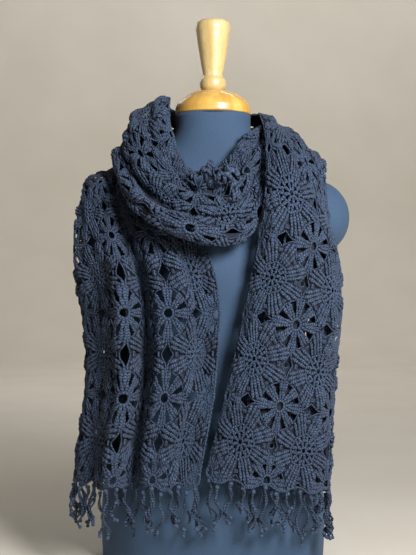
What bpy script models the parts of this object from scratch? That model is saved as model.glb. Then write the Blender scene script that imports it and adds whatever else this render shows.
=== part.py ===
"""A crochet shawl wound once round the neck of a table-top dress form.

The shawl is one long strip of lace. Its surface is worked out from two short tables:
PROFILES holds the shapes that the strip's width is gathered into, and SECTIONS says where
along the strip each shape stands. The dress form, its wooden cap and handle carry it.
All sizes are in metres, with +Z up and the origin under the middle of the form's base.
"""

import math

import bmesh
import bpy
import numpy as np

# The lace: one round flower motif to a cell, four cells to the width
MOTIF_WIDTH = 0.097
MOTIF_LENGTH = 0.115
MOTIFS_ACROSS = 4
MOTIFS_LONG = 18
CLOTH_THICK = 0.003
SEAM_GAP = 0.0003
STRETCH_GAP = 0.0005

# A little way along or across, in motifs, for reading the strip's slopes
LITTLE = 0.001

# Half sizes of the open places, across and along the strip
DIAMOND_HALF = (0.0075, 0.0110)
EYELET_HALF = (0.0055, 0.0055)

# Grid lines to a motif: across, along where it shows, and along where it is hidden
LINES_ACROSS = 8
LINES_ALONG = 6
LINES_HIDDEN = 3

# The stretches of the wound strip, as grid lines along it from the right hem
STRETCHES = [
    ("right_panel", 0, 29),
    ("nape_over", 29, 43),
    ("cowl", 43, 66),
    ("nape_under", 66, 80),
    ("left_panel", 80, 108),
]
HIDDEN_STRETCH = "nape_under"

# Fringe
STRANDS = 22
STRAND_THICK = 0.0028
STRIP_DEEP = 0.0040
STRAND_STEPS = 3
STRAND_SHORT = 0.040
STRAND_LONG = 0.075
STRAND_SWAY = 0.0016
STRAND_TIP = 0.55

# The dress form
NECK_TOP = 0.657
FORM_AROUND = 26
FORM_CORNER = 2.3
ARM_REACH = 0.204
ARM_HIGH = 0.505
ARM_HALF = (0.054, 0.048, 0.056)

# Moving cloth off the form: how often, the step that its slope is read over, the longest move
PULLS = 4
NUDGE = 0.0005
PULL_MOST = 0.02
TURNED_STEPS = 18

# A profile has a row for each crest, valley or edge of the gathered width:
# (motifs across from the neck edge, metres out along the section, metres off it)
PROFILES = {
    "right_hem": [
        (0.00, 0.000, 0.000), (0.25, 0.016, 0.010), (0.50, 0.040, 0.014), (1.00, 0.083, 0.012),
        (1.50, 0.127, 0.004), (1.80, 0.155, -0.010), (2.05, 0.173, -0.026), (2.30, 0.182, -0.048),
    ],
    "right_waist": [
        (0.00, 0.000, 0.000), (0.25, 0.011, 0.012), (0.50, 0.027, 0.016), (1.00, 0.075, 0.016),
        (1.50, 0.118, 0.000), (1.85, 0.143, -0.022), (2.10, 0.152, -0.044), (2.30, 0.152, -0.062),
    ],
    "right_chest": [
        (0.00, 0.000, 0.000), (0.25, 0.010, 0.014), (0.50, 0.027, 0.020), (1.00, 0.073, 0.017),
        (1.50, 0.113, -0.003), (1.80, 0.129, -0.024), (2.05, 0.134, -0.046), (2.30, 0.130, -0.066),
    ],
    "right_collar": [
        (0.00, 0.000, 0.000), (0.25, 0.013, 0.014), (0.50, 0.035, 0.018), (0.80, 0.060, 0.013),
        (1.10, 0.081, 0.000), (1.45, 0.096, -0.022), (1.80, 0.103, -0.041), (2.30, 0.101, -0.066),
    ],
    "right_slope": [
        (0.00, 0.000, 0.000), (0.30, 0.012, 0.014), (0.60, 0.030, 0.012), (1.00, 0.056, 0.014),
        (1.40, 0.080, 0.006), (1.80, 0.100, -0.008), (2.30, 0.112, -0.028),
    ],
    "right_shoulder": [
        (0.00, 0.000, 0.000), (0.30, 0.017, 0.009), (0.60, 0.032, 0.005), (0.95, 0.050, 0.013),
        (1.40, 0.074, 0.008), (1.80, 0.098, 0.008), (2.30, 0.124, -0.002),
    ],
    "nape_over": [
        (0.00, 0.000, 0.000), (0.30, 0.015, 0.009), (0.65, 0.031, 0.005), (1.00, 0.048, 0.012),
        (1.40, 0.066, 0.006), (1.80, 0.085, 0.011), (2.30, 0.108, 0.004),
    ],
    "collar_left": [
        (0.00, 0.000, 0.000), (0.25, 0.020, 0.014), (0.55, 0.040, 0.020), (0.90, 0.060, 0.022),
        (1.25, 0.076, 0.015), (1.60, 0.090, 0.008), (1.95, 0.102, 0.000), (2.30, 0.112, -0.006),
    ],
    "cowl_left": [
        (0.00, 0.000, 0.000), (0.25, 0.014, 0.009), (0.55, 0.030, 0.014), (0.85, 0.046, 0.008),
        (1.20, 0.064, 0.015), (1.55, 0.083, 0.010), (1.90, 0.102, 0.012), (2.30, 0.118, 0.000),
    ],
    "cowl_front": [
        (0.00, 0.000, 0.000), (0.22, 0.010, 0.010), (0.48, 0.025, 0.018), (0.75, 0.038, 0.009),
        (1.00, 0.050, 0.022), (1.25, 0.066, 0.012), (1.50, 0.082, 0.024), (1.75, 0.099, 0.014),
        (2.00, 0.115, 0.018), (2.35, 0.134, 0.004),
    ],
    "cowl_right": [
        (0.00, 0.000, 0.000), (0.30, 0.014, 0.005), (0.60, 0.029, 0.006), (0.90, 0.043, 0.002),
        (1.20, 0.058, 0.006), (1.60, 0.078, 0.002), (2.00, 0.098, 0.005), (2.40, 0.114, 0.000),
    ],
    "nape_under": [
        (0.00, 0.000, 0.000), (0.50, 0.018, 0.003), (1.00, 0.038, 0.000), (1.50, 0.058, 0.003),
        (2.00, 0.078, 0.000), (2.50, 0.098, 0.003), (3.00, 0.118, 0.000),
    ],
    "left_shoulder": [
        (0.00, 0.000, 0.000), (0.50, 0.028, 0.004), (1.00, 0.058, 0.000), (1.50, 0.088, 0.005),
        (2.00, 0.118, 0.001), (2.50, 0.146, 0.000), (3.00, 0.172, -0.006),
    ],
    "left_collar": [
        (0.00, 0.010, 0.000), (0.25, 0.026, 0.004), (0.60, 0.046, 0.010), (1.00, 0.066, 0.005),
        (1.40, 0.086, 0.002), (1.70, 0.098, -0.008), (1.95, 0.110, 0.003), (2.30, 0.126, -0.001),
        (2.75, 0.146, -0.016), (3.30, 0.162, -0.042),
    ],
    "left_chest": [
        (0.00, 0.002, 0.006), (0.30, 0.022, -0.002), (0.50, 0.034, 0.006), (0.75, 0.051, 0.016),
        (1.00, 0.071, 0.012), (1.28, 0.093, -0.005), (1.48, 0.104, -0.023), (1.68, 0.114, -0.021),
        (1.88, 0.124, 0.002), (2.00, 0.132, 0.012), (2.25, 0.148, -0.002), (2.50, 0.163, -0.022),
        (2.80, 0.185, -0.034), (3.30, 0.206, -0.066),
    ],
    "left_waist": [
        (0.00, 0.002, 0.006), (0.30, 0.020, -0.004), (0.50, 0.032, 0.006), (0.75, 0.049, 0.016),
        (1.00, 0.070, 0.014), (1.30, 0.090, -0.004), (1.50, 0.100, -0.030), (1.65, 0.106, -0.028),
        (1.85, 0.116, 0.004), (2.00, 0.128, 0.014), (2.25, 0.144, 0.000), (2.50, 0.160, -0.022),
        (2.80, 0.178, -0.034), (3.30, 0.192, -0.064),
    ],
    "left_hem": [
        (0.00, 0.002, 0.006), (0.40, 0.026, 0.000), (0.75, 0.048, 0.014), (1.00, 0.066, 0.012),
        (1.28, 0.082, -0.004), (1.48, 0.092, -0.020), (1.68, 0.102, -0.018), (1.88, 0.113, 0.004),
        (2.05, 0.124, 0.012), (2.30, 0.138, 0.000), (2.55, 0.152, -0.018), (2.80, 0.167, -0.026),
        (3.30, 0.184, -0.052),
    ],
}

# A section stands the strip's width at a place along it: motifs along from the right hem,
# x, y and z of the neck edge, the way that the width points (turned degrees about Z from +X,
# and degrees up from straight down), how far the width is spread, the motifs across at which
# it is folded under, how far behind it the folded part lies,
# the least distance off the form, and its profile
SECTIONS = [
    (0.00, -0.0117, -0.128, 0.142, 0, 82, 1.00, 2.25, 0.008, 0.004, "right_hem"),
    (1.40, 0.0268, -0.128, 0.300, 0, 78, 0.98, 2.25, 0.008, 0.004, "right_waist"),
    (2.40, 0.0500, -0.130, 0.412, 0, 77, 1.00, 2.25, 0.008, 0.004, "right_chest"),
    (3.45, 0.0700, -0.130, 0.528, 0, 72, 1.00, 2.25, 0.008, 0.006, "right_collar"),
    (4.10, 0.0740, -0.086, 0.606, 2, 62, 1.00, 2.25, 0.010, 0.012, "right_slope"),
    (4.70, 0.0690, -0.010, 0.656, 10, 52, 1.00, 2.25, 0.012, 0.016, "right_shoulder"),
    (5.30, 0.0640, 0.052, 0.668, 50, 40, 1.00, 2.25, 0.012, 0.016, "nape_over"),
    (6.00, 0.0000, 0.088, 0.668, 90, 24, 1.00, 2.25, 0.012, 0.016, "nape_over"),
    (6.70, -0.0620, 0.058, 0.676, 135, 36, 1.00, 2.25, 0.012, 0.016, "collar_left"),
    (7.30, -0.0630, -0.004, 0.682, 178, 44, 1.00, 2.25, 0.012, 0.016, "collar_left"),
    (7.85, -0.0610, -0.050, 0.636, 198, 50, 1.00, 2.25, 0.013, 0.018, "collar_left"),
    (8.40, -0.0430, -0.082, 0.577, 222, 50, 1.00, 2.25, 0.012, 0.018, "cowl_left"),
    (9.20, -0.0060, -0.094, 0.562, 268, 31, 1.00, 2.25, 0.012, 0.008, "cowl_front"),
    (9.90, 0.0236, -0.074, 0.5885, 306, 25, 1.00, 2.25, 0.014, 0.006, "cowl_front"),
    (10.50, 0.0500, -0.046, 0.624, 332, 48, 0.75, 2.25, 0.009, 0.006, "cowl_right"),
    (11.00, 0.0600, 0.004, 0.636, 360, 58, 0.70, 2.25, 0.008, 0.005, "nape_under"),
    (11.60, 0.0480, 0.044, 0.642, 405, 40, 0.80, 2.25, 0.008, 0.005, "nape_under"),
    (12.10, 0.0000, 0.066, 0.650, 450, 20, 0.90, 2.25, 0.008, 0.005, "nape_under"),
    (12.70, -0.0500, 0.044, 0.640, 500, 44, 0.90, 2.25, 0.009, 0.005, "nape_under"),
    (13.25, -0.0680, 0.000, 0.612, 535, 64, 0.95, 2.30, 0.009, 0.0036, "left_shoulder"),
    (13.85, -0.0640, -0.050, 0.582, 540, 76, 0.92, 2.75, 0.010, 0.0034, "left_collar"),
    (14.60, -0.0320, -0.088, 0.520, 540, 84, 1.08, 3.10, 0.010, 0.0028, "left_collar"),
    (15.50, 0.0048, -0.126, 0.420, 540, 90, 1.00, 3.25, 0.009, 0.003, "left_chest"),
    (16.60, 0.0080, -0.134, 0.300, 540, 90, 1.00, 3.25, 0.009, 0.003, "left_waist"),
    (18.00, -0.0180, -0.130, 0.130, 540, 90, 1.00, 3.25, 0.009, 0.003, "left_hem"),
]
# Half a pleat's width, in motifs: what is folded under lies smooth over this
PLEAT_HALF = 0.25
# From here along to here, what is folded under stops following the pleats and hangs flat
HANGS_FLAT = (14.3, 15.3)
# How far across from its neck edge the strip may lie close to the form, and how close, in metres
EDGE_FREE = 0.6
EDGE_GAP = 0.003

# Crumples of the cowl's rolled edge: motifs across, motifs along, reach across, reach along,
# and height off the cloth, all three in metres
CRUMPLES = [
    (0.55, 9.55, 0.016, 0.020, 0.012),
    (1.00, 9.45, 0.014, 0.020, -0.006),
    (1.10, 9.90, 0.014, 0.024, 0.008),
    (0.45, 10.10, 0.012, 0.016, 0.010),
]

# The form's level sections: height, half width, depth in front, depth behind
FORM_SECTIONS = [
    (0.000, 0.1640, 0.1000, 0.110),
    (0.060, 0.1665, 0.1050, 0.116),
    (0.150, 0.1560, 0.1000, 0.108),
    (0.270, 0.1230, 0.0880, 0.086),
    (0.350, 0.1330, 0.1000, 0.088),
    (0.430, 0.1520, 0.1130, 0.096),
    (0.500, 0.1680, 0.0940, 0.100),
    (0.540, 0.1660, 0.0780, 0.096),
    (0.565, 0.1400, 0.0680, 0.088),
    (0.590, 0.0960, 0.0600, 0.074),
    (0.610, 0.0700, 0.0570, 0.062),
    (0.630, 0.0580, 0.0560, 0.057),
    (NECK_TOP, 0.0560, 0.0560, 0.056),
]
# From this row up the form has a ring halfway between the rows too
FORM_FINE = 6

# Outer sides of the turned pieces, top to bottom: radius, height over the piece's foot
CAP_OUTLINE = [
    (0.0000, 0.0370),
    (0.0220, 0.0368),
    (0.0330, 0.0330),
    (0.0450, 0.0260),
    (0.0530, 0.0185),
    (0.0563, 0.0110),
    (0.0563, 0.0020),
    (0.0550, 0.0000),
    (0.0000, 0.0000),
]
HANDLE_OUTLINE = [
    (0.0000, 0.1052),
    (0.0200, 0.1048),
    (0.0246, 0.1020),
    (0.0258, 0.0970),
    (0.0246, 0.0830),
    (0.0205, 0.0560),
    (0.0172, 0.0360),
    (0.0152, 0.0240),
    (0.0160, 0.0205),
    (0.0190, 0.0165),
    (0.0197, 0.0100),
    (0.0185, 0.0040),
    (0.0160, 0.0000),
    (0.0000, 0.0000),
]

# name: (colour, roughness, metallic)
FINISHES = {
    "crochet yarn": ((0.042, 0.060, 0.100, 1.0), 0.92, 0.0),
    "jersey cover": ((0.075, 0.125, 0.205, 1.0), 0.88, 0.0),
    "varnished wood": ((0.830, 0.520, 0.150, 1.0), 0.32, 0.0),
}


def clear_scene():
    for thing in list(bpy.data.objects):
        bpy.data.objects.remove(thing, do_unlink=True)


def make_collection(name):
    collection = bpy.data.collections.new(name)
    bpy.context.scene.collection.children.link(collection)
    return collection


def make_material(name):
    colour, roughness, metallic = FINISHES[name]
    material = bpy.data.materials.new(name)
    material.use_nodes = True
    shader = material.node_tree.nodes["Principled BSDF"]
    shader.inputs["Base Color"].default_value = colour
    shader.inputs["Roughness"].default_value = roughness
    shader.inputs["Metallic"].default_value = metallic
    material.diffuse_color = colour
    return material


def add_object(name, bm, collection, material):
    mesh = bpy.data.meshes.new(name)
    bm.to_mesh(mesh)
    bm.free()
    piece = bpy.data.objects.new(name, mesh)
    collection.objects.link(piece)
    if material is not None:
        mesh.materials.append(material)
    return piece


def smooth_curve(knots, rows, where, paired=False):
    """Read a smooth curve through rows of values, which stand at knots, at the places where.

    With paired, each place reads its own column of the rows.
    """
    knots = np.asarray(knots, float)
    rows = np.asarray(rows, float)
    where = np.clip(np.asarray(where, float), knots[0], knots[-1])
    step = np.diff(knots)
    flat = (-1,) + (1,) * (rows.ndim - 1)
    secant = np.diff(rows, axis=0) / step.reshape(flat)
    slope = np.empty_like(rows)
    slope[0] = secant[0]
    slope[-1] = secant[-1]
    share = (step[1:] / (step[1:] + step[:-1])).reshape(flat)
    slope[1:-1] = share * secant[:-1] + (1 - share) * secant[1:]
    span = np.clip(np.searchsorted(knots, where, side="right") - 1, 0, len(knots) - 2)
    column = (np.arange(len(where)),) if paired else ()
    here = (span,) + column
    beyond = (span + 1,) + column
    flat = (-1,) + (1,) * (rows[here].ndim - 1)
    width = step[span].reshape(flat)
    u = (where - knots[span]).reshape(flat) / width
    start = (2 * u**3 - 3 * u**2 + 1) * rows[here] + (u**3 - 2 * u**2 + u) * width * slope[here]
    end = (3 * u**2 - 2 * u**3) * rows[beyond] + (u**3 - u**2) * width * slope[beyond]
    return start + end


def strip_points(across, along):
    """Points of the strip's middle, one for each pair of places across and along it."""
    knots = [row[0] for row in SECTIONS]
    placing = [row[1:10] for row in SECTIONS]
    place = smooth_curve(knots, placing, along)
    near = np.clip(along, knots[0] + LITTLE, knots[-1] - LITTLE)
    ahead = smooth_curve(knots, placing, near + LITTLE) - smooth_curve(knots, placing, near - LITTLE)
    run = unit(ahead[:, :3])
    turn = np.radians(place[:, 3])
    slant = np.radians(place[:, 4])
    out = np.stack([np.cos(turn) * np.sin(slant), np.sin(turn) * np.sin(slant), -np.cos(slant)], 1)
    off = unit(np.cross(out, run))
    spread, fold, behind, clear = place[:, 5:].T
    # past the fold the width comes back under itself, and under is 1 where it has
    past = across - fold
    bend = np.hypot(past, behind / 2 / MOTIF_WIDTH)
    reach = fold - bend
    under = (1 + past / bend) / 2
    before = profile_at(reach - PLEAT_HALF, along)
    after = profile_at(reach + PLEAT_HALF, along)
    shape = profile_at(reach, along)
    shape += under[:, None] * ((before + after) / 4 - shape / 2)
    slope = unit((after - before) * np.stack([spread, np.ones(len(across))], 1))
    flat = np.clip((along - HANGS_FLAT[0]) / (HANGS_FLAT[1] - HANGS_FLAT[0]), 0, 1) * under
    turned = profile_at(fold - behind / 2 / MOTIF_WIDTH, along)
    turned[:, 0] -= (past + bend) / 2 * MOTIF_WIDTH
    shape += flat[:, None] * (turned - shape)
    slope = unit(slope + flat[:, None] * ([1.0, 0.0] - slope))
    sideways = spread * shape[:, 0] + under * behind * slope[:, 1]
    height = shape[:, 1] + crumple_height(across, along) - under * behind * slope[:, 0]
    points = place[:, :3] + sideways[:, None] * out + height[:, None] * off
    # a neck edge may come close to the neck: only the width below it stands clear
    ease = np.clip(reach / EDGE_FREE, 0, 1)
    return clear_of_form(points, EDGE_GAP + ease * (clear + (1 - under) * behind - EDGE_GAP))


def profile_at(reach, along):
    shapes = []
    for row in SECTIONS:
        profile = PROFILES[row[10]]
        shapes.append(smooth_curve([p[0] for p in profile], [p[1:] for p in profile], reach))
    return smooth_curve([row[0] for row in SECTIONS], shapes, along, paired=True)


def clear_of_form(points, gap):
    """Move any point that would sink into the dress form out along the form's slope, to gap off."""
    for pull in range(PULLS):
        for inside in (inside_torso, inside_stubs):
            here = inside(points)
            slope = np.empty_like(points)
            for axis in range(3):
                nudge = np.zeros(3)
                nudge[axis] = NUDGE
                slope[:, axis] = (inside(points + nudge) - inside(points - nudge)) / (2 * NUDGE)
            steep = np.maximum(np.linalg.norm(slope, axis=1), 1.0)
            distance = (here - 1) / steep
            points = points + (np.clip(gap - distance, 0, PULL_MOST) / steep)[:, None] * slope
    return points


def inside_torso(points):
    """How far out each point is as a share of the torso's level section: 1 on its surface."""
    heights = [row[0] for row in FORM_SECTIONS]
    sizes = [row[1:] for row in FORM_SECTIONS]
    half, front, behind = smooth_curve(heights, sizes, points[:, 2]).T
    depth = np.where(points[:, 1] < 0, front, behind)
    x = np.abs(points[:, 0]) / half
    y = np.abs(points[:, 1]) / depth
    return (x**FORM_CORNER + y**FORM_CORNER) ** (1 / FORM_CORNER)


def inside_stubs(points):
    """The same for the nearer arm stub."""
    middle = np.array([ARM_REACH - ARM_HALF[0], 0.0, ARM_HIGH])
    away = np.abs(points * [1, 1, 0]) + points * [0, 0, 1] - middle
    return np.linalg.norm(away / np.array(ARM_HALF), axis=1)


def unit(vectors):
    return vectors / np.linalg.norm(vectors, axis=1, keepdims=True)


def strip_normals(across, along):
    """The way off the strip's outer side at each place."""
    sideways = strip_points(across + LITTLE, along) - strip_points(across - LITTLE, along)
    onwards = strip_points(across, along + LITTLE) - strip_points(across, along - LITTLE)
    return unit(np.cross(sideways, onwards))


def crumple_height(across, along):
    total = np.zeros(len(across))
    for s, t, wide, long, high in CRUMPLES:
        a = (across - s) * MOTIF_WIDTH / wide
        b = (along - t) * MOTIF_LENGTH / long
        total += high * np.exp(-(a * a + b * b))
    return total


def hole_half(i, k):
    """Half sizes of the open place whose middle is grid crossing i, k, or None."""
    on_line = i % LINES_ACROSS == 0 and 0 < i < MOTIFS_ACROSS * LINES_ACROSS
    mid_motif = i % LINES_ACROSS == LINES_ACROSS // 2
    on_row = k % LINES_ALONG == 0
    mid_row = k % LINES_ALONG == LINES_ALONG // 2
    if on_line and mid_row or mid_motif and on_row:
        return DIAMOND_HALF
    if on_line and on_row:
        return EYELET_HALF
    return None


def lattice_place(i, k, open_at):
    """Motifs across and along of a grid crossing, drawn in to the rim of a hole beside it."""
    across = i / LINES_ACROSS
    along = k / LINES_ALONG
    for side in (-1, 1):
        if (i + side, k) in open_at:
            across = (i + side) / LINES_ACROSS - side * open_at[i + side, k][0] / MOTIF_WIDTH
        if (i, k + side) in open_at:
            along = (k + side) / LINES_ALONG - side * open_at[i, k + side][1] / MOTIF_LENGTH
    return across, along


def make_stretch(name, first, last, collection, material):
    """One stretch of the lace: a sheet on the grid, its holes left out, given its thickness."""
    step = LINES_ALONG // LINES_HIDDEN if name == HIDDEN_STRETCH else 1
    columns = range(MOTIFS_ACROSS * LINES_ACROSS + 1)
    rows = range(first, last + 1, step)
    open_at = {}
    if step == 1:
        for i in columns:
            for k in range(first + 2, last - 1):
                half = hole_half(i, k)
                if half:
                    open_at[i, k] = half
    crossings = [(i, k) for k in rows for i in columns]
    across, along = np.array([lattice_place(i, k, open_at) for i, k in crossings]).T
    seam = STRETCH_GAP / 2 / MOTIF_LENGTH
    low = first / LINES_ALONG + (seam if first > 0 else 0.0)
    high = last / LINES_ALONG - (seam if last < MOTIFS_LONG * LINES_ALONG else 0.0)
    along = np.clip(along, low, high)
    points = strip_points(across, along)
    normals = strip_normals(across, along)
    bm = bmesh.new()
    off = bm.verts.layers.float_vector.new("off")
    at = {}
    for crossing, point, normal in zip(crossings, points, normals):
        if crossing not in open_at:
            at[crossing] = bm.verts.new(point - normal * CLOTH_THICK / 2)
            at[crossing][off] = normal
    for k in rows[:-1]:
        for i in columns[:-1]:
            corners = [(i, k), (i + 1, k), (i + 1, k + step), (i, k + step)]
            bm.faces.new([at[c] for c in corners if c in at])
    thicken(bm, off)
    return add_object(name, bm, collection, material)


def thicken(bm, off):
    """Give a sheet its wall: its faces are drawn out by the cloth's thickness along off."""
    grown = bmesh.ops.extrude_face_region(bm, geom=bm.faces[:], use_keep_orig=True)
    for item in grown["geom"]:
        if isinstance(item, bmesh.types.BMVert):
            item.co += item[off] * CLOTH_THICK
    bmesh.ops.recalc_face_normals(bm, faces=bm.faces)
    for face in bm.faces:
        face.smooth = True


def strand_length(number):
    """Uneven lengths that follow a rule: a slow swell and a quick change from strand to strand."""
    mix = 0.5 + 0.3 * math.sin(1.7 * number + 0.6) + 0.2 * math.sin(4.1 * number)
    return STRAND_SHORT + (STRAND_LONG - STRAND_SHORT) * mix


def make_fringe(name, hem, away, collection, material):
    """A narrow strip just past the hem, with the strands drawn down out of its underside.

    hem is the hem's place along the cloth, and away is the way out of the cloth there, -1 or 1.
    """
    pitch = MOTIFS_ACROSS / STRANDS
    half = STRAND_THICK / 2 / MOTIF_WIDTH
    edges = []
    for number in range(STRANDS):
        middle = (number + 0.5) * pitch
        edges += [middle - half, middle + half]
    across = np.array([0.0] + edges + [float(MOTIFS_ACROSS)])
    on_hem = strip_points(across, np.full(len(across), hem))
    inside = strip_points(across, np.full(len(across), hem - away * LITTLE))
    down = unit(on_hem - inside)
    off = strip_normals(across, np.full(len(across), hem))
    bm = bmesh.new()
    lines = []
    for deep in (SEAM_GAP, SEAM_GAP + STRIP_DEEP):
        for face_side in (-0.5, 0.5):
            points = on_hem + deep * down + face_side * STRAND_THICK * off
            lines.append([bm.verts.new(p) for p in points])
    top_back, top_front, low_back, low_front = lines
    roots = []
    last = len(across) - 1
    for j in range(last):
        bm.faces.new([top_back[j], top_back[j + 1], low_back[j + 1], low_back[j]])
        bm.faces.new([top_front[j + 1], top_front[j], low_front[j], low_front[j + 1]])
        bm.faces.new([top_back[j + 1], top_back[j], top_front[j], top_front[j + 1]])
        under = bm.faces.new([low_back[j], low_back[j + 1], low_front[j + 1], low_front[j]])
        if j % 2 == 1:
            roots.append(under)
    for j, turn in ((0, 1), (last, -1)):
        bm.faces.new([top_back[j], low_back[j], low_front[j], top_front[j]][::turn])
    for number, root in enumerate(roots):
        draw_strand(bm, root, number)
    bmesh.ops.recalc_face_normals(bm, faces=bm.faces)
    return add_object(name, bm, collection, material)


def draw_strand(bm, root, number):
    """Extrude a strand down from its root face, swaying a little and narrowing at its end."""
    length = strand_length(number)
    face = root
    for step in range(1, STRAND_STEPS + 1):
        grown = bmesh.ops.extrude_discrete_faces(bm, faces=[face])
        face = grown["faces"][0]
        sway = STRAND_SWAY * math.sin(1.9 * step + 2.3 * number)
        nod = STRAND_SWAY * math.cos(2.6 * step + 1.1 * number)
        move = (sway, nod, -length / STRAND_STEPS)
        bmesh.ops.translate(bm, verts=list(face.verts), vec=move)
        if step == STRAND_STEPS:
            middle = face.calc_center_median()
            for vert in face.verts:
                vert.co = middle + (vert.co - middle) * STRAND_TIP
                vert.co.z = middle.z


def make_form(collection, cutters, material):
    """The jersey-covered torso: a loft through its level sections, joined to two arm stubs."""
    heights = [row[0] for row in FORM_SECTIONS]
    fine = heights[FORM_FINE:]
    heights = sorted(heights + [(low + high) / 2 for low, high in zip(fine, fine[1:])])
    sizes = smooth_curve([row[0] for row in FORM_SECTIONS], [row[1:] for row in FORM_SECTIONS], heights)
    bm = bmesh.new()
    rings = []
    for z, (half, front, behind) in zip(heights, sizes):
        ring = []
        for j in range(FORM_AROUND):
            angle = 2 * math.pi * j / FORM_AROUND
            c = math.cos(angle)
            s = math.sin(angle)
            reach = (abs(c) ** FORM_CORNER + abs(s) ** FORM_CORNER) ** (-1 / FORM_CORNER)
            depth = front if s < 0 else behind
            ring.append(bm.verts.new((half * c * reach, depth * s * reach, z)))
        rings.append(ring)
    for low, high in zip(rings, rings[1:]):
        for j in range(FORM_AROUND):
            n = (j + 1) % FORM_AROUND
            bm.faces.new([low[j], low[n], high[n], high[j]])
    bm.faces.new(rings[0][::-1])
    bm.faces.new(rings[-1])
    form = add_object("dress_form", bm, collection, material)
    for side, name in ((-1, "left_arm_stub"), (1, "right_arm_stub")):
        stub = bmesh.new()
        bmesh.ops.create_uvsphere(stub, u_segments=16, v_segments=10, radius=1.0)
        bmesh.ops.scale(stub, verts=stub.verts, vec=ARM_HALF)
        move = (side * (ARM_REACH - ARM_HALF[0]), 0.0, ARM_HIGH)
        bmesh.ops.translate(stub, verts=stub.verts, vec=move)
        cutter = add_object(name, stub, cutters, None)
        cutter.hide_render = True
        cutter.display_type = "WIRE"
        union = form.modifiers.new(name, "BOOLEAN")
        union.operation = "UNION"
        union.solver = "EXACT"
        union.object = cutter
    return form


def make_turned(name, outline, foot, collection, material):
    """A turned piece: its outline spun round the upright axis."""
    bm = bmesh.new()
    verts = [bm.verts.new((radius, 0.0, foot + high)) for radius, high in outline]
    for a, b in zip(verts, verts[1:]):
        bm.edges.new((a, b))
    piece = add_object(name, bm, collection, material)
    screw = piece.modifiers.new("spin", "SCREW")
    screw.steps = TURNED_STEPS
    screw.render_steps = TURNED_STEPS
    screw.use_merge_vertices = True
    screw.merge_threshold = 0.00001
    return piece


def main():
    clear_scene()
    parts = make_collection("crochet shawl on a dress form")
    cutters = make_collection("cutters")
    yarn = make_material("crochet yarn")
    jersey = make_material("jersey cover")
    wood = make_material("varnished wood")
    make_form(parts, cutters, jersey)
    cap_foot = NECK_TOP + SEAM_GAP
    make_turned("neck_cap", CAP_OUTLINE, cap_foot, parts, wood)
    make_turned("handle", HANDLE_OUTLINE, cap_foot + CAP_OUTLINE[0][1] + SEAM_GAP, parts, wood)
    for name, first, last in STRETCHES:
        make_stretch(name, first, last, parts, yarn)
    make_fringe("right_fringe", 0.0, -1, parts, yarn)
    make_fringe("left_fringe", float(MOTIFS_LONG), 1, parts, yarn)


main()
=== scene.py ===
# %% [markdown]
# # A crochet shawl on a dress form
# A long shawl of crocheted flower lace is wound once round the neck of a table-top dress
# form, and both fringed ends hang in front. The real shawl is made of round flowers, joined
# as they are worked. Here a flower and a star are modelled flat, stitch by stitch, and copied
# to their places along a draped strip. Every stitch keeps its size while the cloth folds.

# %%
import math

import bmesh
import bpy
import numpy as np
from mathutils import Matrix, Vector


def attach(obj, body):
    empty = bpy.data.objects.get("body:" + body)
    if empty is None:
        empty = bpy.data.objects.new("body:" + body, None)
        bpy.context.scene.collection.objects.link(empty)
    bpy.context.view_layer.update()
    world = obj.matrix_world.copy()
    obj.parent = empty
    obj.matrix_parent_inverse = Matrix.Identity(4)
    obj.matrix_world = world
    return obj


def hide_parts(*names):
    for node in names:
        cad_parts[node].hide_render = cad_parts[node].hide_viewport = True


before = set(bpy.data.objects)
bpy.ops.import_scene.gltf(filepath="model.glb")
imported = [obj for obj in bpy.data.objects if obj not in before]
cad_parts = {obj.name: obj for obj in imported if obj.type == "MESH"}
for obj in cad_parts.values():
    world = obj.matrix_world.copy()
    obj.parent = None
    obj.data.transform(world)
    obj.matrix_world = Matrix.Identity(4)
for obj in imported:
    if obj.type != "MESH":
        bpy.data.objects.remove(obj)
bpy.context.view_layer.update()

print("packed nodes:", sorted(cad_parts))

# %% [markdown]
# ## The drape, in two tables
# A maker lays the shawl by hand and the folds find their place. Here PROFILES holds the
# shapes that the strip's width is gathered into, and SECTIONS says where along the strip each
# shape stands. They are the tables of the solids, so the lace lies where the solids are.

# %%
MOTIF_WIDTH = 0.097
MOTIF_LENGTH = 0.115
MOTIFS_ACROSS = 4
MOTIFS_LONG = 18
LITTLE = 0.001

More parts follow.
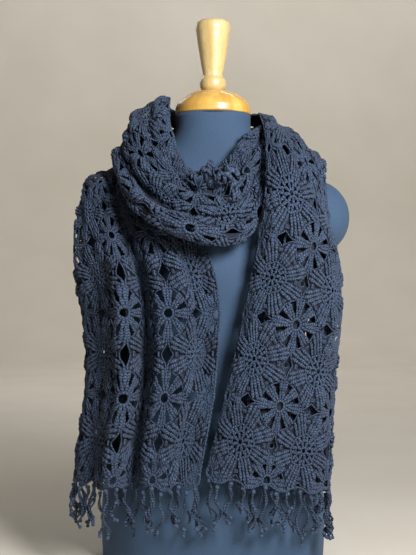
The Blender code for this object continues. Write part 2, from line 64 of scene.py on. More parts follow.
# A profile has a row for each crest, valley or edge of the gathered width:
# motifs across from the neck edge, then millimetres out along the section and off it
PROFILES = {
    "right_hem": [
        (0.00, 0, 0), (0.25, 16, 10), (0.50, 40, 14), (1.00, 83, 12), (1.50, 127, 4),
        (1.80, 155, -10), (2.05, 173, -26), (2.30, 182, -48),
    ],
    "right_waist": [
        (0.00, 0, 0), (0.25, 11, 12), (0.50, 27, 16), (1.00, 75, 16), (1.50, 118, 0),
        (1.85, 143, -22), (2.10, 152, -44), (2.30, 152, -62),
    ],
    "right_chest": [
        (0.00, 0, 0), (0.25, 10, 14), (0.50, 27, 20), (1.00, 73, 17), (1.50, 113, -3),
        (1.80, 129, -24), (2.05, 134, -46), (2.30, 130, -66),
    ],
    "right_collar": [
        (0.00, 0, 0), (0.25, 13, 14), (0.50, 35, 18), (0.80, 60, 13), (1.10, 81, 0),
        (1.45, 96, -22), (1.80, 103, -41), (2.30, 101, -66),
    ],
    "right_slope": [
        (0.00, 0, 0), (0.30, 12, 14), (0.60, 30, 12), (1.00, 56, 14), (1.40, 80, 6),
        (1.80, 100, -8), (2.30, 112, -28),
    ],
    "right_shoulder": [
        (0.00, 0, 0), (0.30, 17, 9), (0.60, 32, 5), (0.95, 50, 13), (1.40, 74, 8), (1.80, 98, 8),
        (2.30, 124, -2),
    ],
    "nape_over": [
        (0.00, 0, 0), (0.30, 15, 9), (0.65, 31, 5), (1.00, 48, 12), (1.40, 66, 6), (1.80, 85, 11),
        (2.30, 108, 4),
    ],
    "collar_left": [
        (0.00, 0, 0), (0.25, 20, 14), (0.55, 40, 20), (0.90, 60, 22), (1.25, 76, 15),
        (1.60, 90, 8), (1.95, 102, 0), (2.30, 112, -6),
    ],
    "cowl_left": [
        (0.00, 0, 0), (0.25, 14, 9), (0.55, 30, 14), (0.85, 46, 8), (1.20, 64, 15),
        (1.55, 83, 10), (1.90, 102, 12), (2.30, 118, 0),
    ],
    "cowl_front": [
        (0.00, 0, 0), (0.22, 10, 10), (0.48, 25, 18), (0.75, 38, 9), (1.00, 50, 22),
        (1.25, 66, 12), (1.50, 82, 24), (1.75, 99, 14), (2.00, 115, 18), (2.35, 134, 4),
    ],
    "cowl_right": [
        (0.00, 0, 0), (0.30, 14, 5), (0.60, 29, 6), (0.90, 43, 2), (1.20, 58, 6), (1.60, 78, 2),
        (2.00, 98, 5), (2.40, 114, 0),
    ],
    "nape_under": [
        (0.00, 0, 0), (0.50, 18, 3), (1.00, 38, 0), (1.50, 58, 3), (2.00, 78, 0), (2.50, 98, 3),
        (3.00, 118, 0),
    ],
    "left_shoulder": [
        (0.00, 0, 0), (0.50, 28, 4), (1.00, 58, 0), (1.50, 88, 5), (2.00, 118, 1), (2.50, 146, 0),
        (3.00, 172, -6),
    ],
    "left_collar": [
        (0.00, 10, 0), (0.25, 26, 4), (0.60, 46, 10), (1.00, 66, 5), (1.40, 86, 2),
        (1.70, 98, -8), (1.95, 110, 3), (2.30, 126, -1), (2.75, 146, -16), (3.30, 162, -42),
    ],
    "left_chest": [
        (0.00, 2, 6), (0.30, 22, -2), (0.50, 34, 6), (0.75, 51, 16), (1.00, 71, 12),
        (1.28, 93, -5), (1.48, 104, -23), (1.68, 114, -21), (1.88, 124, 2), (2.00, 132, 12),
        (2.25, 148, -2), (2.50, 163, -22), (2.80, 185, -34), (3.30, 206, -66),
    ],
    "left_waist": [
        (0.00, 2, 6), (0.30, 20, -4), (0.50, 32, 6), (0.75, 49, 16), (1.00, 70, 14),
        (1.30, 90, -4), (1.50, 100, -30), (1.65, 106, -28), (1.85, 116, 4), (2.00, 128, 14),
        (2.25, 144, 0), (2.50, 160, -22), (2.80, 178, -34), (3.30, 192, -64),
    ],
    "left_hem": [
        (0.00, 2, 6), (0.40, 26, 0), (0.75, 48, 14), (1.00, 66, 12), (1.28, 82, -4),
        (1.48, 92, -20), (1.68, 102, -18), (1.88, 113, 4), (2.05, 124, 12), (2.30, 138, 0),
        (2.55, 152, -18), (2.80, 167, -26), (3.30, 184, -52),
    ],
}

# A section stands the strip's width at a place along it: motifs along from the right hem,
# x, y and z of the neck edge, the way that the width points (turned degrees about Z from +X,
# and degrees up from straight down), how far the width is spread, the motifs across at which
# it is folded under, how far behind the folded part lies, the least distance off the form, and
# the profile. Lengths are in metres.
SECTIONS = [
    (0.00, -0.0117, -0.128, 0.142, 0, 82, 1.00, 2.25, 0.008, 0.004, "right_hem"),
    (1.40, 0.0268, -0.128, 0.300, 0, 78, 0.98, 2.25, 0.008, 0.004, "right_waist"),
    (2.40, 0.0500, -0.130, 0.412, 0, 77, 1.00, 2.25, 0.008, 0.004, "right_chest"),
    (3.45, 0.0700, -0.130, 0.528, 0, 72, 1.00, 2.25, 0.008, 0.006, "right_collar"),
    (4.10, 0.0740, -0.086, 0.606, 2, 62, 1.00, 2.25, 0.010, 0.012, "right_slope"),
    (4.70, 0.0690, -0.010, 0.656, 10, 52, 1.00, 2.25, 0.012, 0.016, "right_shoulder"),
    (5.30, 0.0640, 0.052, 0.668, 50, 40, 1.00, 2.25, 0.012, 0.016, "nape_over"),
    (6.00, 0.0000, 0.088, 0.668, 90, 24, 1.00, 2.25, 0.012, 0.016, "nape_over"),
    (6.70, -0.0620, 0.058, 0.676, 135, 36, 1.00, 2.25, 0.012, 0.016, "collar_left"),
    (7.30, -0.0630, -0.004, 0.682, 178, 44, 1.00, 2.25, 0.012, 0.016, "collar_left"),
    (7.85, -0.0610, -0.050, 0.636, 198, 50, 1.00, 2.25, 0.013, 0.018, "collar_left"),
    (8.40, -0.0430, -0.082, 0.577, 222, 50, 1.00, 2.25, 0.012, 0.018, "cowl_left"),
    (9.20, -0.0060, -0.094, 0.562, 268, 31, 1.00, 2.25, 0.012, 0.008, "cowl_front"),
    (9.90, 0.0236, -0.074, 0.5885, 306, 25, 1.00, 2.25, 0.014, 0.006, "cowl_front"),
    (10.50, 0.0500, -0.046, 0.624, 332, 48, 0.75, 2.25, 0.009, 0.006, "cowl_right"),
    (11.00, 0.0600, 0.004, 0.636, 360, 58, 0.70, 2.25, 0.008, 0.005, "nape_under"),
    (11.60, 0.0480, 0.044, 0.642, 405, 40, 0.80, 2.25, 0.008, 0.005, "nape_under"),
    (12.10, 0.0000, 0.066, 0.650, 450, 20, 0.90, 2.25, 0.008, 0.005, "nape_under"),
    (12.70, -0.0500, 0.044, 0.640, 500, 44, 0.90, 2.25, 0.009, 0.005, "nape_under"),
    (13.25, -0.0680, 0.000, 0.612, 535, 64, 0.95, 2.30, 0.009, 0.0036, "left_shoulder"),
    (13.85, -0.0640, -0.050, 0.582, 540, 76, 0.92, 2.75, 0.010, 0.0034, "left_collar"),
    (14.60, -0.0320, -0.088, 0.520, 540, 84, 1.08, 3.10, 0.010, 0.0028, "left_collar"),
    (15.50, 0.0048, -0.126, 0.420, 540, 90, 1.00, 3.25, 0.009, 0.003, "left_chest"),
    (16.60, 0.0080, -0.134, 0.300, 540, 90, 1.00, 3.25, 0.009, 0.003, "left_waist"),
    (18.00, -0.0180, -0.130, 0.130, 540, 90, 1.00, 3.25, 0.009, 0.003, "left_hem"),
]
# Half a pleat's width, in motifs: what is folded under lies smooth over this
PLEAT_HALF = 0.25
# From here along to here, what is folded under stops following the pleats and hangs flat
HANGS_FLAT = (14.3, 15.3)
# How far across from its neck edge the strip may lie close to the form, and how close, in metres
EDGE_FREE = 0.6
EDGE_GAP = 0.003

# Crumples of the cowl's rolled edge: motifs across, motifs along, reach across, reach along,
# and height off the cloth, all three in metres
CRUMPLES = [
    (0.55, 9.55, 0.016, 0.020, 0.012),
    (1.00, 9.45, 0.014, 0.020, -0.006),
    (1.10, 9.90, 0.014, 0.024, 0.008),
    (0.45, 10.10, 0.012, 0.016, 0.010),
]

# %% [markdown]
# ## The dress form's shape
# A padded form is a smooth torso. Its level sections are rounded boxes, and a smooth curve is
# drawn through their sizes from the base to the neck. The cloth is kept clear of this shape.

# %%
NECK_TOP = 0.657
FORM_CORNER = 2.3
ARM_REACH = 0.204
ARM_HIGH = 0.505
ARM_HALF = (0.054, 0.048, 0.056)
# height, half width, depth in front, depth behind
FORM_SECTIONS = [
    (0.000, 0.1640, 0.1000, 0.110),
    (0.060, 0.1665, 0.1050, 0.116),
    (0.150, 0.1560, 0.1000, 0.108),
    (0.270, 0.1230, 0.0880, 0.086),
    (0.350, 0.1330, 0.1000, 0.088),
    (0.430, 0.1520, 0.1130, 0.096),
    (0.500, 0.1680, 0.0940, 0.100),
    (0.540, 0.1660, 0.0780, 0.096),
    (0.565, 0.1400, 0.0680, 0.088),
    (0.590, 0.0960, 0.0600, 0.074),
    (0.610, 0.0700, 0.0570, 0.062),
    (0.630, 0.0580, 0.0560, 0.057),
    (NECK_TOP, 0.0560, 0.0560, 0.056),
]

# Moving cloth off the form: how often, the step that its slope is read over, the longest move
PULLS = 4
NUDGE = 0.0005
PULL_MOST = 0.02


# %% [markdown]
# ## Reading the drape
# The strip's width is stood at each place along it, folded under where it is too wide, and
# moved off the form wherever it would sink in. This gives a point for any place on the cloth.

# %%
def smooth_curve(knots, rows, where, paired=False):
    """Read a smooth curve through rows of values, which stand at knots, at the places where.

    With paired, each place reads its own column of the rows.
    """
    knots = np.asarray(knots, float)
    rows = np.asarray(rows, float)
    where = np.clip(np.asarray(where, float), knots[0], knots[-1])
    step = np.diff(knots)
    flat = (-1,) + (1,) * (rows.ndim - 1)
    secant = np.diff(rows, axis=0) / step.reshape(flat)
    slope = np.empty_like(rows)
    slope[0] = secant[0]
    slope[-1] = secant[-1]
    share = (step[1:] / (step[1:] + step[:-1])).reshape(flat)
    slope[1:-1] = share * secant[:-1] + (1 - share) * secant[1:]
    span = np.clip(np.searchsorted(knots, where, side="right") - 1, 0, len(knots) - 2)
    column = (np.arange(len(where)),) if paired else ()
    here = (span,) + column
    beyond = (span + 1,) + column
    flat = (-1,) + (1,) * (rows[here].ndim - 1)
    width = step[span].reshape(flat)
    u = (where - knots[span]).reshape(flat) / width
    start = (2 * u**3 - 3 * u**2 + 1) * rows[here] + (u**3 - 2 * u**2 + u) * width * slope[here]
    end = (3 * u**2 - 2 * u**3) * rows[beyond] + (u**3 - u**2) * width * slope[beyond]
    return start + end


def strip_points(across, along):
    """Points of the strip's middle, one for each pair of places across and along it."""
    knots = [row[0] for row in SECTIONS]
    placing = [row[1:10] for row in SECTIONS]
    place = smooth_curve(knots, placing, along)
    near = np.clip(along, knots[0] + LITTLE, knots[-1] - LITTLE)
    ahead = smooth_curve(knots, placing, near + LITTLE)
    ahead -= smooth_curve(knots, placing, near - LITTLE)
    run = unit(ahead[:, :3])
    turn = np.radians(place[:, 3])
    slant = np.radians(place[:, 4])
    out = np.stack([np.cos(turn) * np.sin(slant), np.sin(turn) * np.sin(slant), -np.cos(slant)], 1)
    off = unit(np.cross(out, run))
    spread, fold, behind, clear = place[:, 5:].T
    # past the fold the width comes back under itself, and under is 1 where it has
    past = across - fold
    bend = np.hypot(past, behind / 2 / MOTIF_WIDTH)
    reach = fold - bend
    under = (1 + past / bend) / 2
    before = profile_at(reach - PLEAT_HALF, along)
    after = profile_at(reach + PLEAT_HALF, along)
    shape = profile_at(reach, along)
    shape += under[:, None] * ((before + after) / 4 - shape / 2)
    slope = unit((after - before) * np.stack([spread, np.ones(len(across))], 1))
    flat = np.clip((along - HANGS_FLAT[0]) / (HANGS_FLAT[1] - HANGS_FLAT[0]), 0, 1) * under
    turned = profile_at(fold - behind / 2 / MOTIF_WIDTH, along)
    turned[:, 0] -= (past + bend) / 2 * MOTIF_WIDTH
    shape += flat[:, None] * (turned - shape)
    slope = unit(slope + flat[:, None] * ([1.0, 0.0] - slope))
    sideways = spread * shape[:, 0] + under * behind * slope[:, 1]
    height = shape[:, 1] + crumple_height(across, along) - under * behind * slope[:, 0]
    points = place[:, :3] + sideways[:, None] * out + height[:, None] * off
    # a neck edge may come close to the neck: only the width below it stands clear
    ease = np.clip(reach / EDGE_FREE, 0, 1)
    return clear_of_form(points, EDGE_GAP + ease * (clear + (1 - under) * behind - EDGE_GAP))


def profile_at(reach, along):
    """The gathered shape of the width, in metres out and off, at places reach across it."""
    shapes = []
    for row in SECTIONS:
        profile = np.array(PROFILES[row[10]])
        shapes.append(smooth_curve(profile[:, 0], profile[:, 1:] / 1000, reach))
    return smooth_curve([row[0] for row in SECTIONS], shapes, along, paired=True)


def clear_of_form(points, gap):
    """Move any point that would sink into the dress form out along the form's slope, to gap off."""
    for _ in range(PULLS):
        for inside in (inside_torso, inside_stubs):
            here = inside(points)
            slope = np.empty_like(points)
            for axis in range(3):
                nudge = np.zeros(3)
                nudge[axis] = NUDGE
                slope[:, axis] = (inside(points + nudge) - inside(points - nudge)) / (2 * NUDGE)
            steep = np.maximum(np.linalg.norm(slope, axis=1), 1.0)
            distance = (here - 1) / steep
            points = points + (np.clip(gap - distance, 0, PULL_MOST) / steep)[:, None] * slope
    return points


def form_sizes(heights):
    """Half width, depth in front and depth behind of the torso at each height."""
    knots = [row[0] for row in FORM_SECTIONS]
    return smooth_curve(knots, [row[1:] for row in FORM_SECTIONS], heights)


def inside_torso(points):
    """How far out each point is as a share of the torso's level section: 1 on its surface."""
    half, front, behind = form_sizes(points[:, 2]).T
    depth = np.where(points[:, 1] < 0, front, behind)
    x = np.abs(points[:, 0]) / half
    y = np.abs(points[:, 1]) / depth
    return (x**FORM_CORNER + y**FORM_CORNER) ** (1 / FORM_CORNER)


def inside_stubs(points):
    """The same for the nearer arm stub."""
    middle = np.array([ARM_REACH - ARM_HALF[0], 0.0, ARM_HIGH])
    away = np.abs(points * [1, 1, 0]) + points * [0, 0, 1] - middle
    return np.linalg.norm(away / np.array(ARM_HALF), axis=1)


def unit(vectors):
    return vectors / np.linalg.norm(vectors, axis=1, keepdims=True)


def crumple_height(across, along):
    total = np.zeros(len(across))
    for s, t, wide, long, high in CRUMPLES:
        a = (across - s) * MOTIF_WIDTH / wide
        b = (along - t) * MOTIF_LENGTH / long
        total += high * np.exp(-(a * a + b * b))
    return total


# %% [markdown]
# ## Creases, one by one
# Yarn lace is heavy and soft, so beside its main folds it has shallow uneven troughs and
# ridges. Each is drawn from one place to another on the flat strip, with a width and height.

# %%
# motifs across and along at its start, the same at its end, half width and height in millimetres
CREASES = [
    # right panel: long soft folds that hang from the shoulder
    (0.55, 0.60, 0.75, 2.60, 12, 3.0), (1.15, 0.20, 1.05, 1.90, 14, -2.8),
    (1.60, 1.10, 1.45, 3.20, 11, 3.2), (0.95, 2.40, 1.20, 4.30, 12, -2.6),
    (0.35, 3.10, 0.60, 4.60, 12, 3.4), (1.95, 0.30, 1.90, 1.70, 10, -3.0),
    (3.20, 0.80, 3.10, 3.00, 14, 2.6), (2.80, 2.60, 3.00, 4.40, 13, -2.4),
    (1.75, 3.95, 2.05, 4.55, 18, -12.0),
    # round the nape, outer layer
    (0.50, 4.90, 0.70, 6.30, 10, 3.4), (1.10, 5.20, 0.95, 6.90, 10, -2.8),
    (1.60, 5.00, 1.70, 6.60, 11, 3.2), (2.90, 5.10, 3.00, 6.80, 14, 2.4),
    # the cowl: a rolled inner edge, with a trough under it
    (0.14, 7.30, 0.16, 8.90, 9, 4.0), (0.40, 7.50, 0.40, 8.45, 8, -6.0),
    (0.40, 8.45, 0.78, 8.98, 8, -7.0), (0.75, 7.20, 0.80, 8.40, 10, 4.0),
    # its lower tier, parted from the upper one by a long deep trough
    (1.14, 7.60, 1.18, 10.00, 11, 7.0), (1.56, 8.00, 1.53, 10.40, 10, -15.0),
    (1.93, 8.10, 1.90, 10.30, 11, 9.5), (1.10, 7.30, 1.15, 7.90, 9, -4.5),
    # a roll of cloth round two hollows, at the front
    (0.50, 8.92, 0.38, 9.26, 10, 12.0), (0.38, 9.30, 0.66, 9.62, 12, 13.0),
    (0.70, 9.66, 1.05, 9.58, 11, 12.0), (0.82, 9.24, 0.90, 9.30, 11, -20.0),
    (0.78, 8.92, 0.90, 9.00, 8, -9.0),
    (1.15, 9.10, 1.10, 9.25, 7, 5.0),
    # the gathered bundle at the right, and slantwise folds into it
    (0.22, 9.85, 0.30, 10.90, 12, 7.5), (0.60, 9.92, 0.62, 10.70, 8, -6.0),
    (0.95, 10.05, 0.90, 10.90, 10, 6.0), (1.30, 9.95, 1.20, 10.80, 8, -5.5),
    (1.60, 10.05, 1.50, 10.90, 10, 5.5), (3.00, 7.40, 3.10, 10.20, 14, 2.4),
    # left panel: uneven folds beside the deep pleats
    (0.25, 13.90, 0.40, 15.40, 10, 3.0), (0.85, 14.30, 0.70, 15.80, 10, 3.6),
    (1.10, 15.00, 1.16, 17.80, 11, 7.0), (0.50, 15.40, 0.46, 17.80, 9, -5.0),
    (1.90, 14.10, 1.75, 15.90, 10, 3.4), (2.03, 15.60, 2.05, 17.90, 11, 7.5),
    (2.55, 14.40, 2.45, 16.20, 10, 3.4), (2.75, 16.10, 2.60, 17.80, 10, -3.0),
    (3.00, 13.80, 2.95, 15.30, 10, 3.0), (1.45, 13.60, 1.30, 14.60, 10, -3.0),
]
CREASE_GAP = 0.0032
CREASE_SWAY = 0.004


def crease_height(across, along):
    """The height of all creases at places on the strip: each fades out past its two ends."""
    flat = np.stack([across * MOTIF_WIDTH, along * MOTIF_LENGTH], -1)
    total = np.zeros(across.shape)
    for s0, t0, s1, t1, wide, high in CREASES:
        start = np.array([s0 * MOTIF_WIDTH, t0 * MOTIF_LENGTH])
        run = np.array([s1 * MOTIF_WIDTH, t1 * MOTIF_LENGTH]) - start
        share = ((flat - start) @ run) / (run @ run)
        # a crease isn't ruled: its line wanders a little
        sway = CREASE_SWAY * np.sin(9.0 * share + 20.0 * s0)
        side = np.array([-run[1], run[0]]) / np.linalg.norm(run)
        away = (flat - start) @ side - sway
        past = np.linalg.norm(run) * (np.clip(share, 0, 1) - share)
        total += high / 1000 * np.exp(-(away**2 + 0.3 * past**2) / (wide / 1000) ** 2)
    return total


# %% [markdown]
# ## A sheet of looked-up places
# Thousands of stitches need a place each, so the drape is worked out once on a fine sheet of
# points, 32 to a motif, with the way off the cloth at each. Places between them are read from
# the four round them.

# %%
FINE = 32
PAST = 4
sheet_across = np.arange(-PAST, MOTIFS_ACROSS * FINE + PAST + 1) / FINE
sheet_along = np.arange(-PAST, MOTIFS_LONG * FINE + PAST + 1) / FINE
wide, long = np.meshgrid(sheet_across, sheet_along, indexing="ij")
held = (np.clip(wide, 0, MOTIFS_ACROSS).ravel(), np.clip(long, 0, MOTIFS_LONG).ravel())
sheet_points = strip_points(*held).reshape(wide.shape + (3,))


def run_on(points):
    """Past the cloth's first and last rows, the sheet runs straight on for PAST rows."""
    for last, way in ((PAST, -1), (len(points) - PAST - 1, 1)):
        run = points[last] - points[last - way]
        for n in range(1, PAST + 1):
            points[last + way * n] = points[last] + n * run


run_on(sheet_points)
run_on(sheet_points.swapaxes(0, 1))


def ways_off(points):
    """The direction straight off the cloth at each place of the sheet."""
    off = np.cross(np.gradient(points, axis=0), np.gradient(points, axis=1))
    return off / np.linalg.norm(off, axis=2, keepdims=True)


raised = sheet_points + crease_height(wide, long)[..., None] * ways_off(sheet_points)
sheet_points = clear_of_form(raised.reshape(-1, 3), CREASE_GAP).reshape(raised.shape)
sheet_off = ways_off(sheet_points)
print("sheet of", wide.size, "points")


def on_cloth(across, along, lift):
    """Points that stand lift metres off the draped cloth at places across and along it."""
    a = np.clip((across - sheet_across[0]) * FINE, 0, len(sheet_across) - 1.001)
    b = np.clip((along - sheet_along[0]) * FINE, 0, len(sheet_along) - 1.001)
    i = a.astype(int)
    j = b.astype(int)
    u = (a - i)[:, None]
    v = (b - j)[:, None]
    found = []
    for sheet in (sheet_points, sheet_off):
        low = sheet[i, j] * (1 - v) + sheet[i, j + 1] * v
        high = sheet[i + 1, j] * (1 - v) + sheet[i + 1, j + 1] * v
        found.append(low * (1 - u) + high * u)
    return found[0] + lift[:, None] * found[1]


# %% [markdown]
# ## Stitches: posts and rings
# Crochet is loops of one thick yarn. A tall stitch is a plump post that is pinched where it is
# hooked into the row below, and a row of chain is a cord that runs past the tops of the posts.
# A post starts as a sphere that is drawn out and blunted, and a ring is a circle, spun.

# %%
YARN = 0.0026
SIDES = 5
BANDS = 4
# how far a post is pinched at its ends, and how blunt they are
PINCH = 0.22
BLUNT = 0.7
# steps of a full turn, where an outline or a flower's cord is spun
SPIN_STEPS = 96


def join_turns(turns):
    """One face's shares of a turn, carried on past the seam so that the face isn't torn there."""
    turns = [turn % 1.0 for turn in turns]
    if max(turns) - min(turns) > 0.5:
        turns = [turn + 1.0 if turn < 0.5 else turn for turn in turns]
    return turns


def add_post(bm, start, end, width, height):
    """A stitch post from start to end, both (x, y, lift), width across and height off the cloth."""
    verts = bmesh.ops.create_uvsphere(bm, u_segments=SIDES, v_segments=BANDS, radius=1.0)["verts"]
    start = Vector(start)
    end = Vector(end)
    tall = (end - start).length
    for vert in verts:
        pinch = 1.0 - PINCH * abs(vert.co.z)
        vert.co.x *= pinch * width / 2
        vert.co.y *= pinch * height / 2
        vert.co.z = math.copysign(abs(vert.co.z) ** BLUNT, vert.co.z) * tall / 2
    # unwrapped while it stands upright: once round it, and along it by its length
    grain = bm.loops.layers.uv.verify()
    for face in {face for vert in verts for face in vert.link_faces}:
        spots = [loop.vert.co for loop in face.loops]
        turns = join_turns(math.atan2(spot.y, spot.x) / math.tau for spot in spots)
        for loop, turn in zip(face.loops, turns):
            loop[grain].uv = (turn, loop.vert.co.z / YARN)
    along = (end - start).normalized()
    side = along.cross(Vector((0, 0, 1))).normalized()
    turned = Matrix((side, along.cross(side), along)).transposed().to_4x4()
    turned.translation = (start + end) / 2
    bmesh.ops.transform(bm, matrix=turned, verts=verts)


def add_ring(bm, radius, thick, steps):
    """A closed cord round the middle. Returns its points, to be pushed into scallops."""
    verts = bmesh.ops.create_circle(bm, segments=SIDES, radius=thick / 2)["verts"]
    turned = Matrix.Translation((radius, 0, 0)) @ Matrix.Rotation(math.pi / 2, 4, "X")
    bmesh.ops.transform(bm, matrix=turned, verts=verts)
    edges = list({edge for vert in verts for edge in vert.link_edges})
    before = set(bm.verts) - set(verts)
    spin_round(bm, verts + edges, steps)
    ring = [vert for vert in bm.verts if vert not in before]
    grain = bm.loops.layers.uv.verify()
    for face in {face for vert in ring for face in vert.link_faces}:
        spots = [loop.vert.co for loop in face.loops]
        turns = join_turns(math.atan2(spot.y, spot.x) / math.tau for spot in spots)
        outs = [math.hypot(spot.x, spot.y) - radius for spot in spots]
        ways = [math.atan2(spot.z, out) for spot, out in zip(spots, outs)]
        rounds = join_turns(way / math.tau + 0.5 for way in ways)
        for loop, share, turn in zip(face.loops, rounds, turns):
            loop[grain].uv = (share, turn * math.tau * radius / YARN)
    return ring


def spin_round(bm, geom, steps):
    bmesh.ops.spin(bm, geom=geom, axis=(0, 0, 1), angle=math.tau, steps=steps, use_merge=True)


def spin_outline(bm, spots):
    """Join places into a line, and spin it once round the upright axis."""
    line = [bm.verts.new(spot) for spot in spots]
    rails = [bm.edges.new(pair) for pair in zip(line, line[1:])]
    spin_round(bm, line + rails, SPIN_STEPS)


def smooth_mesh(name, bm):
    """Close a bmesh into a smooth-shaded mesh of that name."""
    bmesh.ops.recalc_face_normals(bm, faces=bm.faces)
    for face in bm.faces:
        face.smooth = True
    mesh = bpy.data.meshes.new(name)
    bm.to_mesh(mesh)
    print(name, "has", len(bm.faces), "faces")
    bm.free()
    return mesh


# %% [markdown]
# ## One flower
# The flower is worked from its middle: a small ring, a round of eight open posts, a round of
# sixteen that lean together in pairs, and eight petals. A petal is six straight ribs side by
# side on a thin web, and a cord runs round all eight. Neighbouring flowers touch only at their
# petal tips: a diamond stays open at the middle of each side of a cell, and the corners are
# left to the stars. Flowers that lie under another layer are worked close, with no open holes.

# %%
PETALS = 8
CELL = MOTIF_WIDTH / 2
STRETCH = MOTIF_LENGTH / MOTIF_WIDTH
HUB = 0.0040
# each round of posts: how many, where they start and end, and their width
ROUNDS = ((8, 0.0052, 0.0112, 0.0050), (16, 0.0132, 0.0188, 0.0048))
POST_HIGH = 0.0032
ROUND_CORD = 0.0028
SLANT = 0.10
SCALLOP = 0.0009
SCALLOP_HIGH = 0.0006
EDGE_CORD = 0.0022
EDGE_DROP = 0.0004
LAP = 0.001

# a petal rises from the last round on, dips at its sides and dips again past its shoulder
PETAL_FROM = 0.0188
PETAL_RISE = 0.0026
SIDE_DIP = 0.0040
TIP_DIP = 0.0010
SHOULDER = 0.040
SLOPE = 0.010

# its ribs start closer together than they end, and the outer ones are shorter
RIBS = 6
RIB_PITCH = 0.0054
RIB_GATHER = 0.80
RIBS_START = 0.0196
RIB_ROOM = 0.0020
RIB_SHY = 0.0008
OUTER_RIB = 0.0135
OUTER_SHY = 0.0022
RIB_SPLIT = 0.52
RIB_HIGH = 0.0040
# lift and width of a rib's two stitches: the second stands a little prouder than the first
RIB_STITCHES = ((0.0, 0.0052), (0.0004, 0.0056))

DIAMOND_DEEP = 0.0075
DIAMOND_HALF = 0.0115
STAR_ROOM = 0.0290
WEB_LIFT = -0.0014
WEB_THICK = 0.0006
WEB_RINGS = 4
OPEN_SEAM = YARN / 2
CLOSE_SEAM = -0.0004


def petal_edge(angle, diamond=DIAMOND_DEEP, seam=OPEN_SEAM):
    """How far the flower reaches each way, before it is drawn out long."""
    c = abs(math.cos(angle))
    s = abs(math.sin(angle))
    c, s = max(c, s), min(c, s)
    reach = (CELL - seam) / c
    # the diamond at the middle of the cell's side
    reach -= diamond * max(0.0, 1 - reach * s / DIAMOND_HALF)
    # the round corner that belongs to the star
    nearest = CELL * (c + s)
    spare = nearest**2 - 2 * CELL**2 + STAR_ROOM**2
    if spare > 0:
        reach = min(reach, nearest - math.sqrt(spare))
    return reach


def crown(angle, radius):
    """Petals are plump: high along their middles and low where two of them meet."""
    petal = math.tau / PETALS
    off_middle = ((angle % petal) - petal / 2) / (petal / 2)
    ease = min(max((radius - PETAL_FROM) / SLOPE, 0.0), 1.0)
    tip = max(0.0, (radius - SHOULDER) / SLOPE)
    return ease * (PETAL_RISE - SIDE_DIP * off_middle**2 - TIP_DIP * tip**2)


def polar(angle, radius, lift):
    return (radius * math.cos(angle), radius * math.sin(angle), lift)


def ray(angle, radius, lift=0.0):
    """The place out from a flower's middle, on its plump top."""
    return polar(angle, radius, crown(angle, radius) + lift)


def push_ring(ring, push, rise):
    """Move a ring's points: push and rise say how far out and up, for the way they lie."""
    for vert in ring:
        angle = math.atan2(vert.co.y, vert.co.x)
        grow = 1 + push(angle) / math.hypot(vert.co.x, vert.co.y)
        vert.co.x *= grow
        vert.co.y *= grow
        vert.co.z += rise(angle)


def make_flower(worked_close):
    bm = bmesh.new()
    add_ring(bm, HUB, YARN, 12)
    for count, inner, outer, width in ROUNDS:
        for number in range(count):
            angle = math.tau * (number + 0.5) / count
            # the outer round is worked in pairs that lean together
            lean = SLANT * (-1) ** number if count > PETALS else 0.0
            start = ray(angle + lean, inner - LAP)
            add_post(bm, start, ray(angle - lean, outer + LAP), width, POST_HIGH)
        ring = add_ring(bm, outer + LAP, ROUND_CORD, count * 4)
        push_ring(ring, lambda a: SCALLOP * math.cos(8 * a), lambda a: SCALLOP_HIGH * math.cos(8 * a))
    for petal in range(PETALS):
        add_petal(bm, math.tau * (petal + 0.5) / PETALS)
    cord = add_ring(bm, CELL, EDGE_CORD, SPIN_STEPS)
    push_ring(cord, lambda a: petal_edge(a) - CELL, lambda a: crown(a, CELL) - EDGE_DROP)
    if worked_close:
        add_web(bm, HUB, 0.0, CLOSE_SEAM)
    else:
        add_web(bm, PETAL_FROM + LAP, DIAMOND_DEEP, OPEN_SEAM)
    bmesh.ops.scale(bm, vec=(1, STRETCH, 1), verts=bm.verts)
    return smooth_mesh("close_flower" if worked_close else "open_flower", bm)


def add_petal(bm, middle):
    """Ribs side by side, nearly straight: the outer ones start where the petal is wide enough."""
    for number in range(RIBS):
        off = (number - (RIBS - 1) / 2) * RIB_PITCH
        near = off * RIB_GATHER
        start = max(RIBS_START, (abs(near) + RIB_ROOM) / math.tan(math.pi / PETALS))
        # a rib ends just short of the cord, which is found in a few rounds
        end = CELL
        for _ in range(6):
            edge = petal_edge(middle + math.atan2(off, end))
            reach = edge - RIB_SHY - OUTER_SHY * (off / OUTER_RIB) ** 2
            end = math.sqrt(reach**2 - off**2)
        split = start + RIB_SPLIT * (end - start)
        spans = ((start, split + LAP), (split - LAP, end))
        for span, (lift, width) in zip(spans, RIB_STITCHES):
            ends = []
            for u in span:
                v = near + (off - near) * (u - start) / (end - start)
                ends.append(ray(middle + math.atan2(v, u), math.hypot(u, v), lift))
            add_post(bm, *ends, width, RIB_HIGH)


def add_web(bm, inner, diamond, seam):
    """The thin back of the petals, where the legs of the stitches close the cloth."""
    before = set(bm.verts)
    spin_outline(bm, [(inner + n / WEB_RINGS, 0.0, 0.0) for n in range(WEB_RINGS)])
    web = [vert for vert in bm.verts if vert not in before]
    for vert in web:
        angle = math.atan2(vert.co.y, vert.co.x)
        share = (math.hypot(vert.co.x, vert.co.y) - inner) * WEB_RINGS / (WEB_RINGS - 1)
        reach = petal_edge(angle, diamond, seam)
        vert.co = ray(angle, inner + (reach - inner) * share, WEB_LIFT)
    thicken_web(bm, list({face for vert in web for face in vert.link_faces}))


